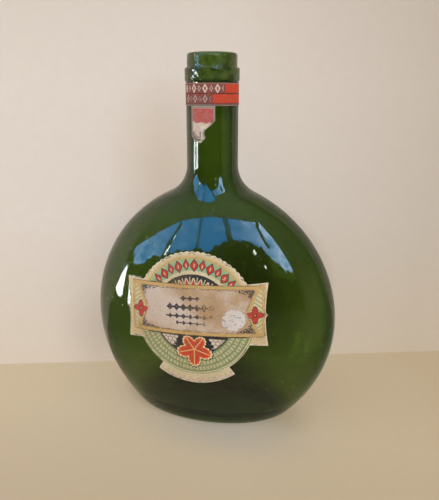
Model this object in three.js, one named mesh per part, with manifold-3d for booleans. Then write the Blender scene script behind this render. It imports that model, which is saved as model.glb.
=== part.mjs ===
// Bocksbeutel: a flat, round bodied wine bottle of green glass with a paper label on its
// front and a paper band with a hanging tag on its neck.
// Millimetres. Z is up, the bottle stands on Z = 0, and its front label faces -Y.

import * as THREE from 'three';
import { mergeVertices } from 'three/addons/utils/BufferGeometryUtils.js';
import Module from 'manifold-3d';

// Outside of the body, seen from the front (width) and from the side (depth)
const bottleHeight = 222;
const bodyWidth = 154.2;
const bodyDepth = 72.6;
const footWidth = 93.8;
const footDepth = 55.6;
const widestHeight = 63.8;
const deepestHeight = 59.4;
const neckDiameter = 30.5;
const neckLength = 58.8;
const frontShoulderDrop = 4.1;
const frontShoulderFillet = 17.8;
const sideShoulderFillet = 68;

// Base: a narrow flat ring to stand on, round a shallow pushed up dome
const heelRadius = 5;
const bearingWidth = 2.6;
const puntHeight = 9;

// Inside: walls, floor and bore
const bodyWall = 3.9;
const floorThickness = 6.5;
const floorCornerReach = 5;
const neckBoreDiameter = 21.4;
const mouthBoreDiameter = 18.8;
const mouthBoreLength = 26;
const boreTaperLength = 13;

// Finish: a collar under a slightly narrower lip
const lipDiameter = 29;
const lipHeight = 8;
const lipRound = 1.6;
const boreRound = 0.7;
const collarDiameter = 31.7;
const collarHeight = 7.5;
const ledgeRound = 0.9;
const collarUnderRound = 0.6;

// Paper: thickness, and the room left between it and the glass
const paperThickness = 0.3;
const paperGap = 0.3;

// Body label: a disc with a scalloped upper edge, a banner with flared ends across it and a
// curved foot strip under it.
// Across is measured along the glass from the middle of the front.
const discAcross = -2.7;
const discHeight = 75.3;
const discRadius = 37.3;
const scallopPitch = 3.4;
const scallopDepth = 0.9;
const bannerAcross = -2.5;
const bannerRise = 1.25;
const bannerWidth = 87.8;
const bannerEndDrop = 37.4;
const bannerWaistDrop = 34;
const bannerEndHollow = 1.6;
const bannerTipReach = 1.3;
const bannerTipHalf = 1.6;
const bannerTilt = THREE.MathUtils.degToRad(1.9);
const footStripRadius = 43;
const footStripFrom = THREE.MathUtils.degToRad(-121.5);
const footStripTo = THREE.MathUtils.degToRad(-54);

// Neck label: a band round the neck just under the collar, with a torn tag under its front
const bandClearance = 0.5;
const bandWidth = 12.4;
const tagLength = 20.5;
const tagLeft = -9.3;
const tagRight = 5.6;
const tagEdgeShares = [
  [0, 0.81], [0.14, 0.92], [0.44, 1], [0.64, 0.85], [0.58, 0.75], [0.61, 0.64], [0.85, 0.5], [1, 0.39],
];

// How far a cutting body runs past what it cuts
const overrun = 4;

// How finely the surfaces are divided
const segmentsAround = 48;
const puntRows = 5;
const heelRows = 4;
const lowerRows = 8;
const upperRows = 13;
const filletRows = 7;
const roundRows = 3;
const floorRows = 5;
const labelColumns = 16;
const labelRows = 12;
const arcPoints = 12;
const wrapSteps = 40;

const wasm = await Module();
wasm.setup();

// One side of the body's outline: an arc from the foot to the widest point, a flatter or
// rounder arc on to the shoulder, and a hollow fillet that runs out into the straight neck.
class Flank {
  constructor({ foot, widest, level, neck, neckStart, fillet }) {
    Object.assign(this, { foot, widest, level, neck, neckStart, fillet });
    const bulge = widest - foot;
    const rise = neckStart - level;
    const inset = neck + fillet - widest;
    this.lowerRadius = (level ** 2 + bulge ** 2) / (2 * bulge);
    this.upperRadius = (rise ** 2 - fillet ** 2 + inset ** 2) / (2 * (widest - neck));
    this.turn = level + rise * this.upperRadius / (this.upperRadius + fillet);
  }

  // Half width at a height, and how fast it changes with height
  at(height) {
    if (height >= this.neckStart) return { half: this.neck, slope: 0 };
    if (height > this.turn) {
      const below = this.neckStart - height;
      const chord = Math.sqrt(this.fillet ** 2 - below ** 2);
      return { half: this.neck + this.fillet - chord, slope: -below / chord };
    }
    const radius = height < this.level ? this.lowerRadius : this.upperRadius;
    const above = height - this.level;
    const chord = Math.sqrt(radius ** 2 - above ** 2);
    return { half: this.widest - radius + chord, slope: -above / chord };
  }

  // Heights spaced evenly by angle along the arcs, from a starting height up to the neck
  heights(from) {
    const steps = (count, place) => Array.from({ length: count }, (_, i) => place((i + 1) / count));
    const start = Math.asin((this.level - from) / this.lowerRadius);
    const sweep = Math.asin((this.turn - this.level) / this.upperRadius);
    return [
      from,
      ...steps(lowerRows, (t) => this.level - this.lowerRadius * Math.sin(start * (1 - t))),
      ...steps(upperRows, (t) => this.level + this.upperRadius * Math.sin(sweep * t)),
      ...steps(filletRows, (t) => this.neckStart - this.fillet * Math.sin(sweep * (1 - t))),
    ];
  }
}

// A pair of flanks, front and side, makes one skin of the body with elliptical sections.
const neckRadius = neckDiameter / 2;
const neckBore = neckBoreDiameter / 2;
const neckWall = neckRadius - neckBore;
const sideNeckStart = bottleHeight - neckLength;
const frontNeckStart = sideNeckStart - frontShoulderDrop;

const outside = {
  front: new Flank({
    foot: footWidth / 2,
    widest: bodyWidth / 2,
    level: widestHeight,
    neck: neckRadius,
    neckStart: frontNeckStart,
    fillet: frontShoulderFillet,
  }),
  side: new Flank({
    foot: footDepth / 2,
    widest: bodyDepth / 2,
    level: deepestHeight,
    neck: neckRadius,
    neckStart: sideNeckStart,
    fillet: sideShoulderFillet,
  }),
};

const inside = {
  front: new Flank({
    foot: footWidth / 2 - bodyWall,
    widest: bodyWidth / 2 - bodyWall,
    level: widestHeight,
    neck: neckBore,
    neckStart: frontNeckStart,
    fillet: frontShoulderFillet + neckWall,
  }),
  side: new Flank({
    foot: footDepth / 2 - bodyWall,
    widest: bodyDepth / 2 - bodyWall,
    level: deepestHeight,
    neck: neckBore,
    neckStart: sideNeckStart,
    fillet: sideShoulderFillet + neckWall,
  }),
};

const ring = (halfWidth, halfDepth, height) => ({ halfWidth, halfDepth, height });
const round = (radius, height) => ring(radius, radius, height);
const skinRing = (skin, height) => ring(skin.front.at(height).half, skin.side.at(height).half, height);

// A smooth corner from the wall of a skin down to a level, ending a given reach further in
function corner(skin, top, level, reach, rows) {
  const wall = skinRing(skin, top);
  const drop = top - level;
  const tip = ring(
    wall.halfWidth - skin.front.at(top).slope * drop,
    wall.halfDepth - skin.side.at(top).slope * drop,
    level,
  );
  const end = ring(tip.halfWidth - reach, tip.halfDepth - reach, level);
  const bend = (key, t) => (1 - t) ** 2 * wall[key] + 2 * t * (1 - t) * tip[key] + t ** 2 * end[key];
  return Array.from({ length: rows + 1 }, (_, i) => {
    const t = i / rows;
    return ring(bend('halfWidth', t), bend('halfDepth', t), bend('height', t));
  });
}

// A shallow dome inside a ring: the rings between its edge and its middle, edge first
function dome(edge, rise, rows) {
  return Array.from({ length: rows - 1 }, (_, i) => {
    const share = 1 - (i + 1) / rows;
    return ring(edge.halfWidth * share, edge.halfDepth * share, edge.height + rise * (1 - share ** 2));
  });
}

// A quarter round on a turned profile, from one angle to the next
function quarter(centreRadius, centreHeight, size, fromQuarter, toQuarter) {
  return Array.from({ length: roundRows + 1 }, (_, i) => {
    const angle = (fromQuarter + (toQuarter - fromQuarter) * i / roundRows) * Math.PI / 2;
    return round(centreRadius + size * Math.cos(angle), centreHeight + size * Math.sin(angle));
  });
}

// The collar and lip, from the neck up to the flat land of the mouth
const lipBase = bottleHeight - lipHeight;
const collarTop = lipBase;
const collarBottom = collarTop - collarHeight;

function finishRings() {
  const lip = lipDiameter / 2;
  const collar = collarDiameter / 2;
  const mouth = mouthBoreDiameter / 2;
  const underStart = collarBottom - collarUnderRound;
  return [
    round(neckRadius, underStart),
    round((neckRadius + collar) / 2, collarBottom - collarUnderRound / 2),
    round(collar, collarBottom + collarUnderRound),
    ...quarter(collar - ledgeRound, collarTop - ledgeRound, ledgeRound, 0, 1),
    round(lip, collarTop),
    ...quarter(lip - lipRound, bottleHeight - lipRound, lipRound, 0, 1),
    ...quarter(mouth + boreRound, bottleHeight - boreRound, boreRound, 1, 2),
    round(mouth, bottleHeight - mouthBoreLength),
    round(neckBore, bottleHeight - mouthBoreLength - boreTaperLength),
  ];
}

// The whole skin of the glass as one run of rings: up the outside, over the lip, down the inside
function glassRings() {
  const heel = corner(outside, heelRadius, 0, heelRadius, heelRows);
  const heelEnd = heel[heel.length - 1];
  const bearing = ring(heelEnd.halfWidth - bearingWidth, heelEnd.halfDepth - bearingWidth, 0);
  const punt = dome(bearing, puntHeight, puntRows).reverse();

  const outerWall = outside.front.heights(heelRadius).slice(1).map((z) => skinRing(outside, z));
  const outerNeck = skinRing(outside, sideNeckStart);
  const halfway = skinRing(outside, (sideNeckStart + frontNeckStart) / 2);

  const floorTop = floorThickness + floorCornerReach;
  const innerWall = inside.front.heights(floorTop).map((z) => skinRing(inside, z)).reverse();
  const innerNeck = skinRing(inside, sideNeckStart);
  const innerHalfway = skinRing(inside, (sideNeckStart + frontNeckStart) / 2);
  const floor = corner(inside, floorTop, floorThickness, floorCornerReach, heelRows);
  const floorDome = dome(floor[floor.length - 1], puntHeight, floorRows);

  return [
    ...punt, bearing, ...heel.reverse(), ...outerWall, halfway, outerNeck,
    ...finishRings(),
    innerNeck, innerHalfway, ...innerWall, ...floor.slice(1), ...floorDome,
  ];
}

// Joins rings of points into one closed surface, with a single point at each end
function loft(rings, startHeight, endHeight) {
  const points = [0, 0, startHeight];
  for (const { halfWidth, halfDepth, height } of rings) {
    for (let j = 0; j < segmentsAround; j++) {
      const angle = j / segmentsAround * 2 * Math.PI;
      points.push(halfWidth * Math.cos(angle), halfDepth * Math.sin(angle), height);
    }
  }
  points.push(0, 0, endHeight);
  const at = (i, j) => 1 + i * segmentsAround + j % segmentsAround;
  const last = points.length / 3 - 1;
  const faces = [];
  for (let j = 0; j < segmentsAround; j++) {
    faces.push(0, at(0, j + 1), at(0, j));
    for (let i = 0; i + 1 < rings.length; i++) {
      faces.push(at(i, j), at(i, j + 1), at(i + 1, j + 1));
      faces.push(at(i, j), at(i + 1, j + 1), at(i + 1, j));
    }
    faces.push(at(rings.length - 1, j), at(rings.length - 1, j + 1), last);
  }
  return surface(points, faces);
}

function surface(points, faces) {
  const geometry = new THREE.BufferGeometry();
  geometry.setAttribute('position', new THREE.Float32BufferAttribute(points, 3));
  geometry.setIndex(faces);
  return geometry;
}

function makeGlass() {
  return loft(glassRings(), puntHeight, floorThickness + puntHeight);
}

// A place on the front of the body: so far round along the glass, at a height, lifted off it
function onFront(across, height, lift) {
  const { half: a, slope: aSlope } = outside.front.at(height);
  const { half: b, slope: bSlope } = outside.side.at(height);
  let angle = 0;
  for (let i = 0; i < wrapSteps; i++) {
    angle += across / wrapSteps / Math.hypot(a * Math.cos(angle), b * Math.sin(angle));
  }
  const x = a * Math.sin(angle);
  const y = -b * Math.cos(angle);
  const normal = new THREE.Vector3(
    x / a ** 2, y / b ** 2, -(x ** 2 * aSlope / a ** 3 + y ** 2 * bSlope / b ** 3),
  ).normalize();
  return new THREE.Vector3(x, y, height).addScaledVector(normal, lift);
}

// A closed sheet of paper lying along the front of the glass, larger than the label cut from it
function frontSheet(left, right, low, high) {
  const points = [];
  for (const lift of [paperGap, paperGap + paperThickness]) {
    for (let i = 0; i <= labelRows; i++) {
      for (let j = 0; j <= labelColumns; j++) {
        const across = left + (right - left) * j / labelColumns;
        const height = low + (high - low) * i / labelRows;
        points.push(...onFront(across, height, lift));
      }
    }
  }
  const at = (layer, i, j) => (layer * (labelRows + 1) + i) * (labelColumns + 1) + j;
  const faces = [];
  const quad = (a, b, c, d) => faces.push(a, b, c, a, c, d);
  for (let i = 0; i < labelRows; i++) {
    for (let j = 0; j < labelColumns; j++) {
      quad(at(1, i, j), at(1, i, j + 1), at(1, i + 1, j + 1), at(1, i + 1, j));
      quad(at(0, i, j), at(0, i + 1, j), at(0, i + 1, j + 1), at(0, i, j + 1));
    }
  }
  for (let j = 0; j < labelColumns; j++) {
    quad(at(0, 0, j), at(0, 0, j + 1), at(1, 0, j + 1), at(1, 0, j));
    quad(at(0, labelRows, j + 1), at(0, labelRows, j), at(1, labelRows, j), at(1, labelRows, j + 1));
  }
  for (let i = 0; i < labelRows; i++) {
    quad(at(0, i + 1, 0), at(0, i, 0), at(1, i, 0), at(1, i + 1, 0));
    const edge = [at(0, i, labelColumns), at(0, i + 1, labelColumns)];
    quad(...edge, at(1, i + 1, labelColumns), at(1, i, labelColumns));
  }
  return surface(points, faces);
}

// Manifold solids for cutting and joining, and back again
function toSolid(geometry) {
  const bare = geometry.clone();
  bare.deleteAttribute('normal');
  bare.deleteAttribute('uv');
  const merged = mergeVertices(bare);
  return new wasm.Manifold(new wasm.Mesh({
    numProp: 3,
    vertProperties: merged.attributes.position.array,
    triVerts: new Uint32Array(merged.index.array),
  }));
}

function toGeometry(solid) {
  const { vertProperties, triVerts } = solid.getMesh();
  return surface([...vertProperties], [...triVerts]);
}

// A die as long as it needs to be, cutting straight in from the front along Y
function frontDie(outline, depth) {
  const shape = new THREE.Shape(outline.map(([x, z]) => new THREE.Vector2(x, z)));
  const geometry = new THREE.ExtrudeGeometry(shape, { depth, bevelEnabled: false });
  return toSolid(geometry.rotateX(Math.PI / 2));
}

// Outlines of the body label as points of (across, height)
function scallopedDisc() {
  const count = Math.round(Math.PI * discRadius / scallopPitch);
  const valley = discRadius - scallopDepth;
  const points = [];
  const add = (radius, angle) => points.push([
    discAcross + radius * Math.cos(angle), discHeight + radius * Math.sin(angle),
  ]);
  for (let i = 0; i < count; i++) {
    add(valley, i / count * Math.PI);
    add(discRadius, (i + 1 / 4) / count * Math.PI);
    add(discRadius, (i + 3 / 4) / count * Math.PI);
  }
  for (let i = 0; i < 2 * arcPoints; i++) {
    add(discRadius, Math.PI * (1 + i / (2 * arcPoints)));
  }
  return points;
}

function flaredBanner() {
  const points = [];
  const tipLevel = 2 * bannerTipHalf / bannerEndDrop;
  const levels = Array.from({ length: arcPoints }, (_, i) => 2 * i / arcPoints - 1);
  levels.push(-tipLevel, tipLevel);
  levels.sort((a, b) => a - b);
  for (const end of [1, -1]) {
    for (let i = 0; i < arcPoints; i++) {
      const t = end * (2 * i / arcPoints - 1);
      const drop = bannerWaistDrop + (bannerEndDrop - bannerWaistDrop) * t ** 2;
      points.push([t * bannerWidth / 2, -end * drop / 2]);
    }
    for (const t of levels) {
      const hollow = bannerEndHollow * (1 - t ** 2);
      const tip = bannerTipReach * Math.max(0, 1 - Math.abs(t) / tipLevel);
      points.push([end * (bannerWidth / 2 - hollow + tip), end * t * bannerEndDrop / 2]);
    }
  }
  return points.map(([x, z]) => [
    bannerAcross + x * Math.cos(bannerTilt) - z * Math.sin(bannerTilt),
    discHeight + bannerRise + x * Math.sin(bannerTilt) + z * Math.cos(bannerTilt),
  ]);
}

function footStrip() {
  const points = [[discAcross, discHeight]];
  for (let i = 0; i <= arcPoints; i++) {
    const angle = footStripFrom + (footStripTo - footStripFrom) * i / arcPoints;
    points.push([
      discAcross + footStripRadius * Math.cos(angle),
      discHeight + footStripRadius * Math.sin(angle),
    ]);
  }
  return points;
}

function makeBodyLabel() {
  const middle = paperGap + paperThickness / 2;
  const wrap = ([across, height]) => [onFront(across, height, middle).x, height];
  const reach = bannerWidth / 2 + overrun;
  const sheet = toSolid(frontSheet(
    bannerAcross - reach,
    bannerAcross + reach,
    discHeight - Math.max(footStripRadius, discRadius) - overrun,
    discHeight + discRadius + overrun,
  ));
  const dies = [scallopedDisc(), flaredBanner(), footStrip()]
    .map((outline) => frontDie(outline.map(wrap), bodyDepth));
  return toGeometry(sheet.intersect(dies[0].add(dies[1]).add(dies[2])));
}

function makeNeckLabel() {
  const inner = neckRadius + paperGap;
  const outer = inner + paperThickness;
  const bandTop = collarBottom - collarUnderRound - bandClearance;
  const bandBottom = bandTop - bandWidth;
  const tagEnd = bandBottom - tagLength;

  const profile = [[inner, tagEnd], [outer, tagEnd], [outer, bandTop], [inner, bandTop], [inner, tagEnd]];
  const sleeve = new THREE.LatheGeometry(
    profile.map(([r, z]) => new THREE.Vector2(r, z)), segmentsAround,
  ).rotateX(Math.PI / 2);

  const side = 2 * (outer + overrun);
  const band = new THREE.BoxGeometry(side, side, bandWidth + overrun);
  band.translate(0, 0, bandBottom + (bandWidth + overrun) / 2);

  const bend = (outer + inner) / 2;
  const place = (share, down) => {
    const across = tagLeft + (tagRight - tagLeft) * share;
    return [bend * Math.sin(across / bend), bandBottom - down];
  };
  const tag = frontDie([
    place(0, -bandWidth / 2),
    ...tagEdgeShares.map(([share, downShare]) => place(share, tagLength * downShare)),
    place(1, -bandWidth / 2),
  ], outer + overrun);
  return toGeometry(toSolid(sleeve).intersect(toSolid(band).add(tag)));
}

const glass = new THREE.MeshStandardMaterial({
  color: 0x2f5a1c, roughness: 0.05, metalness: 0, transparent: true, opacity: 0.55,
});
const paper = new THREE.MeshStandardMaterial({ color: 0xcdb682, roughness: 0.85, metalness: 0 });
const redPaper = new THREE.MeshStandardMaterial({ color: 0xb8402a, roughness: 0.8, metalness: 0 });

function named(name, geometry, material) {
  geometry.computeVertexNormals();
  const mesh = new THREE.Mesh(geometry, material);
  mesh.name = name;
  return mesh;
}

const bottle = new THREE.Group();
bottle.add(named('glass_bottle', makeGlass(), glass));
bottle.add(named('body_label', makeBodyLabel(), paper));
bottle.add(named('neck_label', makeNeckLabel(), redPaper));

export default bottle;
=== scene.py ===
import random
from math import asin, cos, hypot, pi, radians, sin, sqrt

import bpy
import numpy as np
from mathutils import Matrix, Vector, geometry, noise


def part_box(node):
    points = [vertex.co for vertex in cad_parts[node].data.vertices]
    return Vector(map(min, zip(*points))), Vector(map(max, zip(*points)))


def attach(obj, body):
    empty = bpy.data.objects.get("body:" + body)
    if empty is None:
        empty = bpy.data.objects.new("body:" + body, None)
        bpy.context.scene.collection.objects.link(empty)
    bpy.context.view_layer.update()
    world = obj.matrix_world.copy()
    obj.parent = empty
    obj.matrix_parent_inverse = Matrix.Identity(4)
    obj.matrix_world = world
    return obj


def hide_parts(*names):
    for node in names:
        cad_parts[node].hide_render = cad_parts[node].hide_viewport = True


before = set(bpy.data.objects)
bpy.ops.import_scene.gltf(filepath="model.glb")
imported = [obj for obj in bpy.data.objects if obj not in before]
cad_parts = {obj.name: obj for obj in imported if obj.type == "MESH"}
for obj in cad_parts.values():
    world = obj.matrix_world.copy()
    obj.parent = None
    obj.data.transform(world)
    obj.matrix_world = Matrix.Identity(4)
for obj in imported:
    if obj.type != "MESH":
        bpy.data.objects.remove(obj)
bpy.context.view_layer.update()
scene = bpy.context.scene

# The camera stands close in front of the bottle, a little to its right and just above its
# shoulder, and looks down on it. All sizes in this script are in metres unless they say mm.
MM = 0.001
EYE = Vector((0.0877, -0.3258, 0.1994))
LOOK = Vector((-0.2389, 0.9335, -0.2677))

camera = bpy.data.objects.new("camera", bpy.data.cameras.new("camera"))
camera.data.sensor_width = 36.0
camera.data.lens = 40.4
camera.data.clip_start = 10 * MM
camera.location = EYE
camera.rotation_mode = "QUATERNION"
camera.rotation_quaternion = LOOK.to_track_quat("-Z", "Y")
scene.collection.objects.link(camera)
scene.camera = camera
scene.view_settings.view_transform = "Standard"


# The bottle is one piece of blown and moulded green glass: a flattened round body with
# elliptical sections, a straight neck with a collar and lip, and a pushed up base.
GLASS_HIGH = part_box("glass_bottle")[1]
HEIGHT = GLASS_HIGH.z
HALF_DEPTH = 36.3 * MM
FOOT_HALF_WIDTH = 46.9 * MM
FOOT_HALF_DEPTH = 27.8 * MM
WIDEST_LEVEL = 63.8 * MM
DEEPEST_LEVEL = 59.4 * MM
FRONT_FILLET = 17.8 * MM
SIDE_FILLET = 68 * MM
SHOULDER_DROP = 4.1 * MM
NECK_LENGTH = 58.8 * MM
NECK_RADIUS = 15.25 * MM
BORE_RADIUS = 10.7 * MM
MOUTH_RADIUS = 9.4 * MM
MOUTH_LENGTH = 26 * MM
MOUTH_TAPER = 13 * MM
BODY_WALL = 3.9 * MM
HEEL_RADIUS = 5 * MM
BEARING_WIDTH = 2.6 * MM
PUNT_HEIGHT = 9 * MM
FLOOR_THICKNESS = 6.5 * MM
FLOOR_CORNER = 5 * MM
LIP_RADIUS = 14.5 * MM
LIP_HEIGHT = 8 * MM
LIP_ROUND = 1.6 * MM
LIP_RUN_START = 1.0 * MM
BORE_ROUND = 0.7 * MM
COLLAR_RADIUS = 15.85 * MM
COLLAR_HEIGHT = 7.5 * MM
COLLAR_ROUND = 0.9 * MM
COLLAR_UNDER = 0.6 * MM
COLLAR_ROUND_END = 0.93
NOOK_ROUND = 0.3 * MM
NOOK_RISE = 0.25 * MM
FINISH_START = HEIGHT - LIP_HEIGHT - COLLAR_HEIGHT

# How finely the glass is divided, upwards and round
ROWS = dict(
    punt=22, heel=9, lower=22, upper=40, fillet=24, neck=16, under=6, collar=6, ledge=6, nook=3,
    lip=6, lip_round=7, mouth_round=5, mouth=10, bore=8, inner_lower=20, floor=10, floor_dome=16,
)
COLUMNS = 176
SEAM_COLUMNS = 4
SEAM_PITCH = 0.22 * MM
SEAM_RISE = 0.12 * MM

# Unevenness of the inside, the outside and the finish, as the height, length and seed of each wave
SKIN_WAVE = 0.03 * MM
INSIDE_WAVES = [(0.35 * MM, 45 * MM, 3.0), (0.35 * MM / 3, 14 * MM, 8.0)]
SKIN_WAVES = [(SKIN_WAVE, 22 * MM, 17.0)]
FINISH_WAVES = [(0.05 * MM, 4 * MM, 5.0), (0.05 * MM, 11 * MM, 9.0)]

# Seeds, the small bubbles in the glass
SEEDS = 34
SEED_HEIGHTS_MM = (14, 140)
SEED_DEPTH_SHARES = (0.25, 0.75)
SEED_RADII_MM = (0.16, 0.42)
SEED_STRETCHES = (1.0, 2.2)
SEED_ROWS = 5
SEED_SIDES = 8


class Flank:
    """Half of the body's outline: an arc to the widest level, one to the shoulder, a fillet."""

    def __init__(self, foot, widest, level, neck, neck_start, fillet):
        bulge = widest - foot
        rise = neck_start - level
        inset = neck + fillet - widest
        self.widest, self.level, self.neck = widest, level, neck
        self.neck_start, self.fillet = neck_start, fillet
        self.lower = (level**2 + bulge**2) / (2 * bulge)
        self.upper = (rise**2 - fillet**2 + inset**2) / (2 * (widest - neck))
        self.turn = level + rise * self.upper / (self.upper + fillet)

    def at(self, height):
        """Half width at a height, and its slope."""
        if height >= self.neck_start:
            return self.neck, 0.0
        if height > self.turn:
            below = self.neck_start - height
            chord = sqrt(self.fillet**2 - below**2)
            return self.neck + self.fillet - chord, -below / chord
        radius = self.lower if height < self.level else self.upper
        above = height - self.level
        chord = sqrt(radius**2 - above**2)
        return self.widest - radius + chord, -above / chord

    def heights(self, start, lower_rows, upper_rows, fillet_rows):
        """Heights from a start up to the neck, evenly spaced along each arc."""
        low_angle = asin((self.level - start) / self.lower)
        sweep = asin((self.turn - self.level) / self.upper)
        low = [self.level - self.lower * sin(low_angle * (1 - i / lower_rows)) for i in range(lower_rows)]
        mid = [self.level + self.upper * sin(sweep * i / upper_rows) for i in range(upper_rows)]
        top = [
            self.neck_start - self.fillet * sin(sweep * (1 - i / fillet_rows))
            for i in range(fillet_rows + 1)
        ]
        return low + mid + top


SIDE_NECK_START = HEIGHT - NECK_LENGTH
FRONT_NECK_START = SIDE_NECK_START - SHOULDER_DROP
FRONT_WIDEST = GLASS_HIGH.x - SEAM_RISE - SKIN_WAVE
FLANKS = [
    (FOOT_HALF_WIDTH, FRONT_WIDEST, WIDEST_LEVEL, FRONT_NECK_START, FRONT_FILLET),
    (FOOT_HALF_DEPTH, HALF_DEPTH - SKIN_WAVE, DEEPEST_LEVEL, SIDE_NECK_START, SIDE_FILLET),
]


def skin(wall, neck):
    """Front and side flanks of the surface that lies a wall's thickness inside the glass."""
    return [
        Flank(foot - wall, widest - wall, level, neck, neck_start, fillet + NECK_RADIUS - neck)
        for foot, widest, level, neck_start, fillet in FLANKS
    ]


OUTSIDE = skin(0.0, NECK_RADIUS)
INSIDE = skin(BODY_WALL, BORE_RADIUS)


def skin_ring(sides, height):
    return (sides[0].at(height)[0], sides[1].at(height)[0], height)


def corner(sides, top, level, reach, rows):
    """Rings of a smooth corner from the wall down to a lower level."""
    wall = skin_ring(sides, top)
    tip = [wall[k] - sides[k].at(top)[1] * (top - level) for k in (0, 1)]
    rings = []
    for i in range(rows + 1):
        t = i / rows
        halves = [
            (1 - t) ** 2 * wall[k] + 2 * t * (1 - t) * tip[k] + t**2 * (tip[k] - reach) for k in (0, 1)
        ]
        rings.append((*halves, level + (top - level) * (1 - t) ** 2))
    return rings


def dome(edge, rise, rows):
    """Rings from the edge of a shallow dome to just short of its middle."""
    shares = [1 - i / rows for i in range(1, rows)]
    return [(edge[0] * s, edge[1] * s, edge[2] + rise * (1 - s**2)) for s in shares]


def quarter(radius, height, size, first, last, rows):
    """Rings round a turned edge, from one quarter turn to another."""
    angles = [(first + (last - first) * i / rows) * pi / 2 for i in range(rows + 1)]
    rings = []
    for angle in angles:
        out = radius + size * cos(angle)
        rings += turned(out, height + size * sin(angle))
    return rings


def turned(radius, *heights):
    return [(radius, radius, height) for height in heights]


def finish_rings():
    """The neck, collar and lip, and the bore under them, turned round the neck's axis."""
    collar_top = HEIGHT - LIP_HEIGHT
    collar_low = collar_top - COLLAR_HEIGHT
    neck_top = collar_low - COLLAR_UNDER
    neck_run = [
        SIDE_NECK_START + (neck_top - SIDE_NECK_START) * i / ROWS["neck"]
        for i in range(1, ROWS["neck"] + 1)
    ]
    rings = turned(NECK_RADIUS, *neck_run)
    for i in range(1, ROWS["under"] + 1):
        t = i / ROWS["under"]
        radius = NECK_RADIUS + (COLLAR_RADIUS - NECK_RADIUS) * (3 - 2 * t) * t**2
        rings += turned(radius, collar_low + COLLAR_UNDER * (2 * t - 1))

    run = (collar_low + 2 * COLLAR_UNDER, collar_top - 1.5 * COLLAR_ROUND)
    rings += turned(COLLAR_RADIUS, *np.linspace(*run, ROWS["collar"]))
    edge = (COLLAR_RADIUS - COLLAR_ROUND, collar_top - COLLAR_ROUND, COLLAR_ROUND)
    rings += quarter(*edge, 0, COLLAR_ROUND_END, ROWS["ledge"])
    edge = (LIP_RADIUS + NOOK_ROUND, collar_top + NOOK_RISE, NOOK_ROUND)
    rings += quarter(*edge, -1, -2, ROWS["nook"])

    run = (collar_top + LIP_RUN_START, HEIGHT - 1.3 * LIP_ROUND)
    rings += turned(LIP_RADIUS, *np.linspace(*run, ROWS["lip"]))
    rings += quarter(LIP_RADIUS - LIP_ROUND, HEIGHT - LIP_ROUND, LIP_ROUND, 0, 1, ROWS["lip_round"])
    edge = (MOUTH_RADIUS + BORE_ROUND, HEIGHT - BORE_ROUND, BORE_ROUND)
    rings += quarter(*edge, 1, 2, ROWS["mouth_round"])

    run = (HEIGHT - 2 * BORE_ROUND, HEIGHT - MOUTH_LENGTH)
    rings += turned(MOUTH_RADIUS, *np.linspace(*run, ROWS["mouth"]))
    run = (HEIGHT - MOUTH_LENGTH - MOUTH_TAPER, SIDE_NECK_START)
    rings += turned(BORE_RADIUS, *np.linspace(*run, ROWS["bore"]))
    return rings


def glass_rings():
    """The rings of the whole glass, and where those of its inside start."""
    heel = corner(OUTSIDE, HEEL_RADIUS, 0.0, HEEL_RADIUS, ROWS["heel"])
    bearing = (heel[-1][0] - BEARING_WIDTH, heel[-1][1] - BEARING_WIDTH, 0.0)
    punt = dome(bearing, PUNT_HEIGHT, ROWS["punt"])
    join = [FRONT_NECK_START + (SIDE_NECK_START - FRONT_NECK_START) * t for t in (1 / 3, 2 / 3, 1)]
    levels = OUTSIDE[0].heights(HEEL_RADIUS, ROWS["lower"], ROWS["upper"], ROWS["fillet"])
    outer = [skin_ring(OUTSIDE, z) for z in levels[1:] + join]

    floor_top = FLOOR_THICKNESS + FLOOR_CORNER
    levels = INSIDE[0].heights(floor_top, ROWS["inner_lower"], ROWS["upper"], ROWS["fillet"])
    inner = [skin_ring(INSIDE, z) for z in reversed(levels + join[:2])]
    inner += corner(INSIDE, floor_top, FLOOR_THICKNESS, FLOOR_CORNER, ROWS["floor"])[1:]
    inner += dome(inner[-1], PUNT_HEIGHT, ROWS["floor_dome"])
    rings = punt[::-1] + [bearing] + heel[::-1] + outer + finish_rings() + inner
    return rings, len(rings) - len(inner)


def column_angles():
    """Angles round the bottle, close together over the mould seam on each side."""
    half_turn = np.linspace(0, pi, COLUMNS // 2, endpoint=False)[1:]
    seam = np.arange(-SEAM_COLUMNS, SEAM_COLUMNS + 1) * SEAM_PITCH / GLASS_HIGH.y
    return np.concatenate([seam, half_turn, seam + pi, half_turn + pi])


def ripple(place, size, seed):
    """Smooth unevenness from -1 to 1 that changes over about the given length."""
    return noise.noise(Vector((place[0] / size + seed, place[1] / size, place[2] / size)))


def swelling(waves, place):
    """How far some waves make the glass stand out at a place."""
    return sum(height * ripple(place, length, seed) for height, length, seed in waves)


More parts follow.
